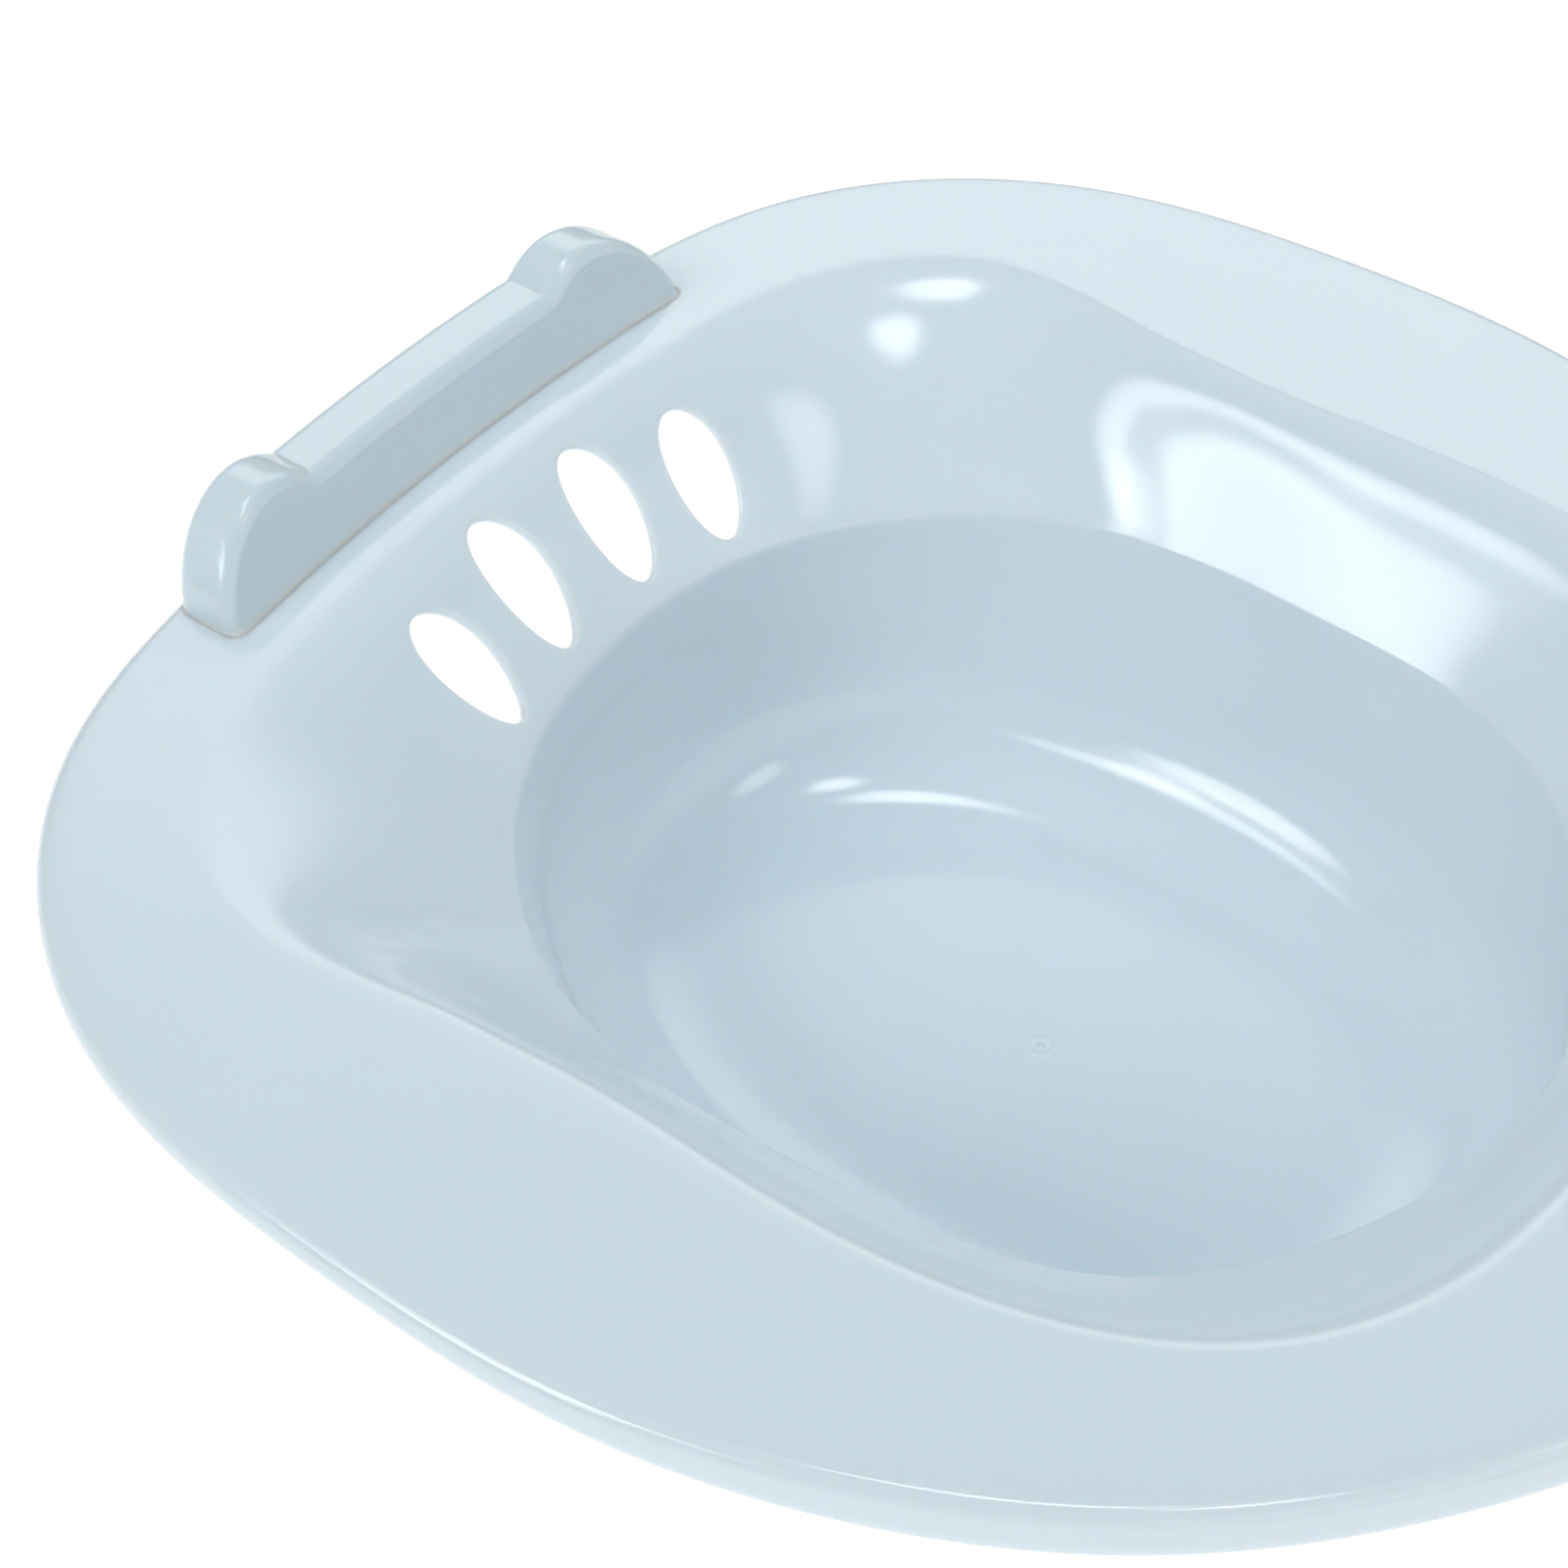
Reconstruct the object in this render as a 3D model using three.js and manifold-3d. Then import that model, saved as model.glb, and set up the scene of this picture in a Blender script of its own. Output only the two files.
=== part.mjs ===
// Over-toilet bedpan / sitz basin: one thin-walled plastic moulding, split here along its own
// feature lines (floor, bowl wall, funnel, overflow panel, seat flange, rolled lip, splash guard).
// Millimetres, +Z up. Origin: the point on the underside of the flat floor below the gate mark.
// +Y points to the splash guard and the overflow holes; X is the symmetry direction.
import * as THREE from "three";
import { mergeVertices } from "three/addons/utils/BufferGeometryUtils.js";
import Module from "manifold-3d";

const wasm = await Module();
wasm.setup();

// ---------------------------------------------------------------- driving dimensions
const WALL = 2.4; // moulded wall thickness
const GAP = 0.3; // clearance kept between neighbouring regions
const STEPS = 80; // sections round the plan
const FLOOR_Z = WALL; // inner floor above the resting face
const LEDGE_Z = 61 + WALL; // height of the edge between bowl wall and funnel
const FLANGE_Z = 92.8 + WALL; // top of the seat flange
const COVE_R = 36; // radius between floor and bowl wall
const LEDGE_R = 3; // rounding of the ledge edge
const CREASE_SHARE = 0.62, // the funnel eases into the flange over this share of its length
  CREASE_FLAT = 13; // and this far onto the flange
const CREASE_SHARE_SIDE = 0.5, // the same, away from the guard, where the crease is crisper
  CREASE_FLAT_SIDE = 5.5,
  CREASE_IN_SIDE = 5, // and its corner lies further in
  CREASE_SIDE_FROM = (48 * Math.PI) / 180, // plan angles between which it changes
  CREASE_SIDE_TO = (68 * Math.PI) / 180;
const LIP_R = 3.6; // rounding of the rim
const LIP_FLARE = 0.5; // outward lean of the turned-down lip
const LIP_DROP_GUARD = 5.2, // depth of the lip beside the guard
  LIP_DROP_END = 9.6, // and round the narrow end
  LIP_DROP_FROM_Y = -75,
  LIP_DROP_TO_Y = 40; // it changes between these
const FLOOR_HALF_X = 52.5,
  FLOOR_HALF_Y = 77.5,
  FLOOR_MID_Y = 3,
  FLOOR_POWER = 2.35; // plan of the flat floor, a rounded oblong
// Plan radii in polar form: sum of c[k] cos(k t), t measured from +Y.
const RIM = [
  184.58, 8.69, 0.27, -7.33, -4.25, -2.06, 0.55, 0.91, 0.67, 0.31, 0.13, 0.35, 0.2,
];
const CREASE = [140.3, 5.67, 5.06, -1.58, -10.4, -1.6, -0.19, 1.11, 0.83];
const LEDGE = [106.25, 3.37, 6.84, 0.12, -2.28, -0.24, 0.72, -0.44];
const PANEL_STEPS = 6; // overflow panel: this many steps to each side of +Y
// Overflow holes: [x, y, z above the inner floor, length, width, axis x, y, z]
const HOLES = [
  [14.46, 128.42, 79.58, 34.5, 16.25, 0.055, 0.622, 0.781],
  [40.29, 122.84, 76.74, 32.5, 15.75, 0.209, 0.655, 0.726],
];
const HOLE_EGG = 0.139; // how much wider the upper half of a hole is
// Splash guard
const GUARD_TOP = 108.3 + WALL; // top of its low middle wall
const GUARD_IN_Y = 159.8,
  GUARD_OUT_Y = 177.15; // inner and outer faces at the middle, at the flange
const GUARD_IN_BOW = 0.0008,
  GUARD_OUT_BOW = 0.0009; // how far the faces bow with x squared
const GUARD_IN_LEAN = 0.352,
  GUARD_OUT_LEAN = 0.198; // outward lean of the faces per mm of height
const GUARD_SPLIT_X = 38.9; // where the low wall meets the ears
const EAR_MID_X = 52.5,
  EAR_OUTER = 22.7,
  EAR_INNER = 27.9,
  EAR_HEIGHT = 20.3,
  EAR_OUTER_POWER = 0.6,
  EAR_INNER_POWER = 1; // ear profile: 0.5 is an ellipse, 1 a parabola
const SLOT_HALF_X = 68,
  SLOT_BACK = 4.2; // opening in the flange under the hollow guard
const GUARD_EDGE_R = 3.2; // rounding of all guard edges

// ---------------------------------------------------------------- plan curves and sections
const series = (c, t) => c.reduce((s, ck, k) => s + ck * Math.cos(k * t), 0);
function lipDrop(y) {
  const w = THREE.MathUtils.smoothstep(y, LIP_DROP_FROM_Y, LIP_DROP_TO_Y);
  return LIP_DROP_END * (1 - w) + LIP_DROP_GUARD * w;
}
function floorRadius(t) {
  const s = Math.abs(Math.sin(t)),
    c = Math.cos(t);
  const f = (r) =>
    Math.abs((r * s) / FLOOR_HALF_X) ** FLOOR_POWER +
    Math.abs((r * c - FLOOR_MID_Y) / FLOOR_HALF_Y) ** FLOOR_POWER -
    1;
  let a = 1,
    b = 200;
  for (let i = 0; i < 50; i++) {
    const m = (a + b) / 2;
    if (f(m) > 0) b = m;
    else a = m;
  }
  return (a + b) / 2;
}

// Rounds the corner P between A and B; each point carries the unit normal left of travel.
function rounded(A, P, B, radius, n) {
  const d1 = new THREE.Vector2().subVectors(P, A).normalize();
  const d2 = new THREE.Vector2().subVectors(B, P).normalize();
  const a1 = Math.atan2(d1.y, d1.x),
    a2 = Math.atan2(d2.y, d2.x);
  const turn = a2 - a1,
    sign = Math.sign(turn);
  const tangent = radius * Math.tan(Math.abs(turn) / 2);
  const start = P.clone().addScaledVector(d1, -tangent);
  const n1 = new THREE.Vector2(-d1.y, d1.x);
  const centre = start.clone().addScaledVector(n1, radius * sign);
  const out = [];
  for (let i = 0; i <= n; i++) {
    const a = a1 + (turn * i) / n;
    const nn = new THREE.Vector2(-Math.sin(a), Math.cos(a));
    out.push({ p: centre.clone().addScaledVector(nn, -radius * sign), n: nn });
  }
  return out;
}
// A long blend between A-P and P-B that starts share of the way back and ends flat beyond P.
function eased(A, P, B, share, flat, n) {
  const start = P.clone().lerp(A, share);
  const end = P.clone().addScaledVector(new THREE.Vector2().subVectors(B, P).normalize(), flat);
  const out = [];
  for (let i = 0; i <= n; i++) {
    const f = i / n;
    const p = start
      .clone()
      .multiplyScalar((1 - f) ** 2)
      .addScaledVector(P, 2 * f * (1 - f))
      .addScaledVector(end, f * f);
    const d = new THREE.Vector2()
      .addScaledVector(new THREE.Vector2().subVectors(P, start), 1 - f)
      .addScaledVector(new THREE.Vector2().subVectors(end, P), f)
      .normalize();
    out.push({ p, n: new THREE.Vector2(-d.y, d.x) });
  }
  return out;
}
// 0 by the guard, 1 along the sides and round the narrow end.
function awayFromGuard(t) {
  const a = Math.abs(Math.atan2(Math.sin(t), Math.cos(t)));
  const f = Math.min(
    1,
    Math.max(0, (a - CREASE_SIDE_FROM) / (CREASE_SIDE_TO - CREASE_SIDE_FROM)),
  );
  return f * f * (3 - 2 * f);
}
// All regions of the section at plan angle t.
function section(t) {
  const w = awayFromGuard(t);
  const l = series(LEDGE, t),
    c = series(CREASE, t) - CREASE_IN_SIDE * w,
    R = series(RIM, t),
    f = floorRadius(t);
  let k = f + 15;
  for (let i = 0; i < 30; i++) {
    const al = Math.atan2(LEDGE_Z - FLOOR_Z, l - k);
    k = f + COVE_R * Math.tan(al / 2);
  }
  const V = (x, y) => new THREE.Vector2(x, y);
  const drop = lipDrop(R * Math.cos(t));
  const pts = [
    V(0, FLOOR_Z),
    V(k, FLOOR_Z),
    V(l, LEDGE_Z),
    V(c, FLANGE_Z),
    V(R, FLANGE_Z),
    V(R + LIP_FLARE, FLANGE_Z - drop),
  ];
  const cove = rounded(pts[0], pts[1], pts[2], COVE_R, 6);
  const ledge = rounded(pts[1], pts[2], pts[3], LEDGE_R, 3);
  const share = CREASE_SHARE + (CREASE_SHARE_SIDE - CREASE_SHARE) * w;
  const flat = CREASE_FLAT + (CREASE_FLAT_SIDE - CREASE_FLAT) * w;
  const crease = eased(pts[2], pts[3], pts[4], share, flat, 6);
  const lip = rounded(pts[3], pts[4], pts[5], LIP_R, 4);
  const moved = (q, dx, dy) => ({ p: V(q.p.x + dx, q.p.y + dy), n: q.n });
  const along = (q, d) => moved(q, q.n.y * d, -q.n.x * d); // d along travel
  const end = { p: pts[5], n: lip[lip.length - 1].n };
  const h = GAP / 2;
  const lerp = (a, b, s) => ({
    p: a.p.clone().lerp(b.p, s),
    n: a.n.clone().lerp(b.n, s).normalize(),
  });
  return {
    floor: cove[0].p.x - h,
    wall: [
      along(cove[0], h),
      ...cove.slice(1),
      lerp(cove[6], ledge[0], 0.5),
      along(ledge[0], -h),
    ],
    funnel: [
      along(ledge[0], h),
      ...ledge.slice(1),
      lerp(ledge[3], crease[0], 0.5),
      ...crease.slice(0, -1),
      along(crease[6], -h),
    ],
    flange: [
      along(crease[6], h),
      lerp(crease[6], lip[0], 0.5),
      along(lip[0], -h),
    ],
    lip: [along(lip[0], h), ...lip.slice(1), end],
  };
}

// ---------------------------------------------------------------- mesh helpers
const place = (t, r, z) => [r * Math.sin(t), r * Math.cos(t), z];
function solid(verts, tris) {
  const g = new THREE.BufferGeometry();
  g.setAttribute(
    "position",
    new THREE.BufferAttribute(new Float32Array(verts.flat()), 3),
  );
  g.setIndex(tris.flat());
  return toManifold(g);
}
function toManifold(geometry) {
  const g = geometry.clone();
  g.deleteAttribute("normal");
  g.deleteAttribute("uv");
  const m = mergeVertices(g, 1e-4);
  const vertProperties = new Float32Array(m.attributes.position.array);
  const make = (triVerts) =>
    new wasm.Manifold(new wasm.Mesh({ numProp: 3, vertProperties, triVerts }));
  const tri = new Uint32Array(m.index.array);
  const made = make(tri);
  if (made.volume() > 0) return made;
  for (let i = 0; i < tri.length; i += 3) [tri[i + 1], tri[i + 2]] = [tri[i + 2], tri[i + 1]];
  return make(tri);
}
function toGeometry(man) {
  const m = man.getMesh();
  const v = new Float32Array(m.numVert * 3);
  for (let i = 0; i < m.numVert; i++)
    v.set(m.vertProperties.subarray(i * m.numProp, i * m.numProp + 3), i * 3);
  const g = new THREE.BufferGeometry();
  g.setAttribute("position", new THREE.BufferAttribute(v, 3));
  g.setIndex(new THREE.BufferAttribute(new Uint32Array(m.triVerts), 1));
  g.computeVertexNormals();
  return g;
}
// A shell swept round the plan from its section strip; closed into a ring, or capped at both ends.
function shell(angles, region, closed) {
  const rows = angles.map((t) => {
    const s = section(t)[region];
    const top = s.map((q) => place(t, q.p.x, q.p.y));
    const low = s.map((q) => place(t, q.p.x - WALL * q.n.x, q.p.y - WALL * q.n.y));
    return [...top, ...low.reverse()];
  });
  const m = rows[0].length,
    K = m / 2,
    verts = rows.flat(),
    tris = [];
  const n = rows.length,
    spans = closed ? n : n - 1;
  for (let i = 0; i < spans; i++)
    for (let j = 0; j < m; j++) {
      const a = i * m + j,
        b = i * m + ((j + 1) % m),
        i2 = (i + 1) % n,
        c = i2 * m + ((j + 1) % m),
        d = i2 * m + j;
      tris.push([a, b, c], [a, c, d]);
    }
  if (!closed)
    for (const [i, flip] of [
      [0, false],
      [n - 1, true],
    ])
      for (let j = 0; j < K - 1; j++) {
        const a = i * m + j,
          b = i * m + j + 1,
          c = i * m + (m - 2 - j),
          d = i * m + (m - 1 - j);
        for (const t3 of [
          [a, c, b],
          [a, d, c],
        ])
          tris.push(flip ? [t3[0], t3[2], t3[1]] : t3);
      }
  return solid(verts, tris);
}
const ringAngles = [...Array(STEPS).keys()].map((i) => (2 * Math.PI * i) / STEPS);
const step = (2 * Math.PI) / STEPS;
const trim = GAP / 2 / 125; // half a gap, as an angle at the funnel
const panelAngles = [...Array(2 * PANEL_STEPS + 1).keys()].map((i) => {
  const a = (i - PANEL_STEPS) * step;
  return i === 0 ? a + trim : i === 2 * PANEL_STEPS ? a - trim : a;
});
const funnelAngles = [...Array(STEPS - 2 * PANEL_STEPS + 1).keys()].map((i) => {
  const a = (i + PANEL_STEPS) * step;
  return i === 0 ? a + trim : i === STEPS - 2 * PANEL_STEPS ? a - trim : a;
});

// ---------------------------------------------------------------- bowl floor
function floorPlate() {
  const shape = new THREE.Shape(
    ringAngles.map((t) => {
      const r = section(t).floor;
      return new THREE.Vector2(r * Math.sin(t), r * Math.cos(t));
    }),
  );
  return toManifold(
    new THREE.ExtrudeGeometry(shape, { depth: WALL, bevelEnabled: false }),
  );
}

// ---------------------------------------------------------------- overflow holes
function holeCutter([x, y, z, length, width, ax, ay, az], side) {
  const t = Math.atan2(x, y);
  const c = series(CREASE, t),
    l = series(LEDGE, t);
  const slope = Math.atan2(FLANGE_Z - LEDGE_Z, c - l);
  const normal = new THREE.Vector3(
    -Math.sin(slope) * Math.sin(t) * side,
    -Math.sin(slope) * Math.cos(t),
    Math.cos(slope),
  );
  const e1 = new THREE.Vector3(ax * side, ay, az);
  e1.addScaledVector(normal, -e1.dot(normal)).normalize();
  const e2 = new THREE.Vector3().crossVectors(normal, e1);
  const shape = new THREE.Shape(
    [...Array(28).keys()].map((i) => {
      const a = (2 * Math.PI * i) / 28;
      return new THREE.Vector2(
        (length / 2) * Math.cos(a),
        (width / 2) * Math.sin(a) * (1 + HOLE_EGG * Math.cos(a)),
      );
    }),
  );
  const g = new THREE.ExtrudeGeometry(shape, { depth: 24, bevelEnabled: false });
  g.translate(0, 0, -14);
  g.applyMatrix4(new THREE.Matrix4().makeBasis(e1, e2, normal));
  g.translate(x * side, y, z + FLOOR_Z);
  return toManifold(g);
}

// ---------------------------------------------------------------- splash guard
// The guard is drawn as outlines in x-z, stacked in y, then bowed and leaned to follow the rim.
// inset shrinks the outline; bottom is its lowest z; x0, x1 clip it.
function earOutline(inset, x0, bottom) {
  const pts = [];
  const base = FLANGE_Z;
  const inner = EAR_INNER - inset,
    outer = EAR_OUTER - inset,
    high = EAR_HEIGHT - inset;
  const a0 = Math.PI - Math.acos(Math.min(1, (EAR_MID_X - x0) / inner));
  for (let i = 0; i <= 7; i++) {
    const a = a0 + ((Math.PI / 2 - a0) * i) / 7;
    pts.push([
      EAR_MID_X + inner * Math.cos(a),
      base + high * Math.sin(a) ** (2 * EAR_INNER_POWER),
    ]);
  }
  for (let i = 1; i <= 7; i++) {
    const a = Math.PI / 2 - ((Math.PI / 2) * i) / 7;
    pts.push([
      EAR_MID_X + outer * Math.cos(a),
      base + high * Math.max(0, Math.sin(a)) ** (2 * EAR_OUTER_POWER),
    ]);
  }
  pts[pts.length - 1][1] = bottom;
  pts.push([x0, bottom]);
  return pts;
}
function wallOutline(inset, x0, bottom) {
  const top = GUARD_TOP - inset,
    pts = [];
  for (let i = 0; i <= 8; i++) pts.push([-x0 + (2 * x0 * i) / 8, top]);
  for (let i = 8; i >= 0; i--) pts.push([-x0 + (2 * x0 * i) / 8, bottom]);
  return pts;
}
const bowedIn = (x, z) =>
  GUARD_IN_Y - GUARD_IN_BOW * x * x + GUARD_IN_LEAN * (z - FLANGE_Z);
const bowedOut = (x, z) =>
  GUARD_OUT_Y - GUARD_OUT_BOW * x * x + GUARD_OUT_LEAN * (z - FLANGE_Z);
// levels: [share or distance from a face, inset]; builds the stacked solid.
function guardBody(outline, levels, side) {
  const rings = levels.map(([from, dist, inset]) =>
    outline(inset).map(([x, z]) => {
      const a = bowedIn(x, z),
        b = bowedOut(x, z);
      const y = from === "in" ? a + dist : b - dist;
      return [x * side, y, z];
    }),
  );
  const m = rings[0].length,
    verts = rings.flat(),
    tris = [];
  for (let i = 0; i < rings.length - 1; i++)
    for (let j = 0; j < m; j++) {
      const a = i * m + j,
        b = i * m + ((j + 1) % m),
        c = a + m,
        d = b + m;
      tris.push([a, b, d], [a, d, c]);
    }
  for (const [i, want] of [
    [0, -1],
    [rings.length - 1, 1],
  ]) {
    const flat = rings[i].map((v) => new THREE.Vector2(v[0], v[2]));
    const turn = Math.sign(THREE.ShapeUtils.area(flat));
    for (const [a, b, c] of THREE.ShapeUtils.triangulateShape(flat, [])) {
      const same = turn * Math.sign(THREE.ShapeUtils.area([flat[a], flat[b], flat[c]]));
      const t3 = [i * m + a, i * m + b, i * m + c];
      tris.push(same === want ? t3 : [t3[0], t3[2], t3[1]]);
    }
  }
  return solid(verts, tris);
}
const r = GUARD_EDGE_R;
const outerLevels = [
  ["in", 0, r],
  ["in", r * 0.29, r * 0.29],
  ["in", r, 0],
  ["out", r, 0],
  ["out", r * 0.29, r * 0.29],
  ["out", 0, r],
];
const cavityLevels = [
  ["in", WALL, WALL],
  ["out", WALL, WALL],
];
const base = FLANGE_Z + GAP,
  below = FLANGE_Z - 2 * WALL;
const half = GAP / 2;
const earSolid = (side) =>
  guardBody((i) => earOutline(i, GUARD_SPLIT_X + half, base), outerLevels, side);
const earCavity = (side) =>
  guardBody((i) => earOutline(i, GUARD_SPLIT_X - 1, below), cavityLevels, side);
const wallSolid = guardBody(
  (i) => wallOutline(i, GUARD_SPLIT_X - half, base),
  outerLevels,
  1,
);
const wallCavity = guardBody(
  (i) => wallOutline(i, GUARD_SPLIT_X + 1, below),
  cavityLevels,
  1,
);

// ---------------------------------------------------------------- the moulding's regions
let panel = shell(panelAngles, "funnel", false);
for (const h of HOLES)
  for (const side of [1, -1]) panel = panel.subtract(holeCutter(h, side));
const slot = guardBody(
  (i) => wallOutline(i, SLOT_HALF_X, below),
  [
    ["in", WALL, 0],
    ["out", SLOT_BACK, 0],
  ],
  1,
);
const flange = shell(ringAngles, "flange", true).subtract(slot);

const plastic = {
  color: new THREE.Color(0.56, 0.68, 0.74),
  roughness: 0.22,
  metalness: 0,
};
const group = new THREE.Group();
function add(name, manifold) {
  const mesh = new THREE.Mesh(
    toGeometry(manifold),
    new THREE.MeshStandardMaterial(plastic),
  );
  mesh.name = name;
  group.add(mesh);
}
add("bowl_floor", floorPlate());
add("bowl_wall", shell(ringAngles, "wall", true));
add("funnel_wall", shell(funnelAngles, "funnel", false));
add("overflow_panel", panel);
add("seat_flange", flange);
add("rim_lip", shell(ringAngles, "lip", true));
add("splash_guard_wall", wallSolid.subtract(wallCavity));
add("guard_ear_left", earSolid(-1).subtract(earCavity(-1)));
add("guard_ear_right", earSolid(1).subtract(earCavity(1)));

export default group;
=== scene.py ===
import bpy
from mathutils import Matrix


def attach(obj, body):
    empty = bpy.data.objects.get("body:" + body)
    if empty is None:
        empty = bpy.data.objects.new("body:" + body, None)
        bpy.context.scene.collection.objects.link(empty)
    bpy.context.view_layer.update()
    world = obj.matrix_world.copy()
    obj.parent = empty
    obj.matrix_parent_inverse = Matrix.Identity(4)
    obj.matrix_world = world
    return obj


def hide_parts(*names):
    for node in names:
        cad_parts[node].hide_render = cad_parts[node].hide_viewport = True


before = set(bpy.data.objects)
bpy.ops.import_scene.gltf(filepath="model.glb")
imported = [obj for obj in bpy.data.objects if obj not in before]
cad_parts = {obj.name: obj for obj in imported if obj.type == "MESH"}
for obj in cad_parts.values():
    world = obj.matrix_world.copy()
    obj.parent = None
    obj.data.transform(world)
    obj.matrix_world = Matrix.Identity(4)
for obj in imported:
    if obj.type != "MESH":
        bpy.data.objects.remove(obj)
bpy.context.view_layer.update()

import math

import bpy
import numpy as np
from mathutils import Matrix, Vector

# ============================================================ dimensions, mm, row frame
WALL = 2.4
LEDGE_Z = 61 + WALL
FLANGE_Z = 92.8 + WALL
COVE_R, LEDGE_R, LIP_R = 36.0, 3.0, 3.6
CREASE_SHARE, CREASE_FLAT = 0.62, 13.0  # blend: share of the funnel, and mm onto the flange
CREASE_SHARE_SIDE, CREASE_FLAT_SIDE, CREASE_IN_SIDE = 0.5, 5.5, 5.0  # crisper away from the guard
CREASE_SIDE_FROM, CREASE_SIDE_TO = math.radians(48), math.radians(68)
RIM = [184.58, 8.69, 0.27, -7.33, -4.25, -2.06, 0.55, 0.91, 0.67, 0.31, 0.13, 0.35, 0.2]
CREASE = [140.3, 5.67, 5.06, -1.58, -10.4, -1.6, -0.19, 1.11, 0.83]
LEDGE = [106.25, 3.37, 6.84, 0.12, -2.28, -0.24, 0.72, -0.44]
HOLES = [
    [14.46, 128.42, 79.58, 34.5, 16.25, 0.055, 0.622, 0.781],
    [40.29, 122.84, 76.74, 32.5, 15.75, 0.209, 0.655, 0.726],
]
HOLE_EGG = 0.139
GUARD_TOP = 108.3 + WALL
EAR_X, EAR_OUT, EAR_IN, EAR_H = 52.5, 22.7, 27.9, 20.3
EAR_OUT_POWER, EAR_IN_POWER = 0.6, 1.0  # 0.5 is an ellipse, 1 a parabola
SLOT_HALF_X, SLOT_BACK = 68.0, 4.2  # opening in the flange under the hollow guard
GUARD_R = 3.3  # rounding of the guard's edges
GUARD_NOTCH_R = 1.7  # fillet where an ear rises from the low wall
GUARD_FOOT = 1.1  # fillet at the guard's foot
COLUMNS = 440
MM = 0.001


# ============================================================ section and surface
def series(c, t):
    return sum(ck * np.cos(k * t) for k, ck in enumerate(c))


def floor_radius(t, a=52.5, b=77.5, yc=3.0, n=2.35):
    lo, hi = np.ones_like(t), np.full_like(t, 200.0)
    s, c = np.abs(np.sin(t)), np.cos(t)
    for _ in range(44):
        m = (lo + hi) / 2
        f = np.abs(m * s / a) ** n + np.abs((m * c - yc) / b) ** n - 1
        hi = np.where(f > 0, m, hi)
        lo = np.where(f > 0, lo, m)
    return (lo + hi) / 2


def lip_drop(y):
    """Depth of the turned-down lip: shallow beside the guard, deeper round the narrow end."""
    w = np.clip((y + 75) / 115, 0, 1)
    w = w * w * (3 - 2 * w)
    return 9.6 * (1 - w) + 5.2 * w


def unit(v):
    return v / np.maximum(np.linalg.norm(v, axis=-1, keepdims=True), 1e-12)


def away_from_guard(t):
    """0 by the guard, 1 along the sides and round the narrow end."""
    a = np.abs(np.arctan2(np.sin(t), np.cos(t)))
    f = np.clip((a - CREASE_SIDE_FROM) / (CREASE_SIDE_TO - CREASE_SIDE_FROM), 0, 1)
    return f * f * (3 - 2 * f)


def section(t):
    """Corner points and fillets of the inner surface's section at plan angles t."""
    w = away_from_guard(t)
    l, c, R, f = series(LEDGE, t), series(CREASE, t) - CREASE_IN_SIDE * w, series(RIM, t), floor_radius(t)
    share = (CREASE_SHARE + (CREASE_SHARE_SIDE - CREASE_SHARE) * w)[:, None]
    flat = (CREASE_FLAT + (CREASE_FLAT_SIDE - CREASE_FLAT) * w)[:, None]
    k = f + 15
    for _ in range(24):
        al = np.arctan2(LEDGE_Z - WALL, l - k)
        k = f + COVE_R * np.tan(al / 2)
    drop = lip_drop(R * np.cos(t))
    z = np.zeros_like(t)
    V = [
        np.stack([z, z + WALL], -1),
        np.stack([k, z + WALL], -1),
        np.stack([l, z + LEDGE_Z], -1),
        np.stack([c, z + FLANGE_Z], -1),
        np.stack([R, z + FLANGE_Z], -1),
        np.stack([R + 0.5, FLANGE_Z - drop + 1.0], -1),
    ]
    F = []
    for i, rad in zip((1, 2, 3, 4), (COVE_R, LEDGE_R, 0.0, LIP_R)):
        d1, d2 = unit(V[i] - V[i - 1]), unit(V[i + 1] - V[i])
        if i == 3:  # the funnel eases into the flange: a long blend, not an arc
            reach = share * np.linalg.norm(V[3] - V[2], axis=-1, keepdims=True)
            F.append((V[3] - d1 * reach, V[3] + d2 * flat, V[3], t, t, t))
            continue
        a1 = np.arctan2(d1[:, 1], d1[:, 0])
        turn = np.arctan2(d2[:, 1], d2[:, 0]) - a1
        sg = np.sign(turn)
        T = rad * np.tan(np.abs(turn) / 2)
        st, en = V[i] - d1 * T[:, None], V[i] + d2 * T[:, None]
        n1 = np.stack([-d1[:, 1], d1[:, 0]], -1)
        F.append((st, en, st + n1 * (rad * sg)[:, None], a1, turn, sg * rad))
    return V, F


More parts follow.
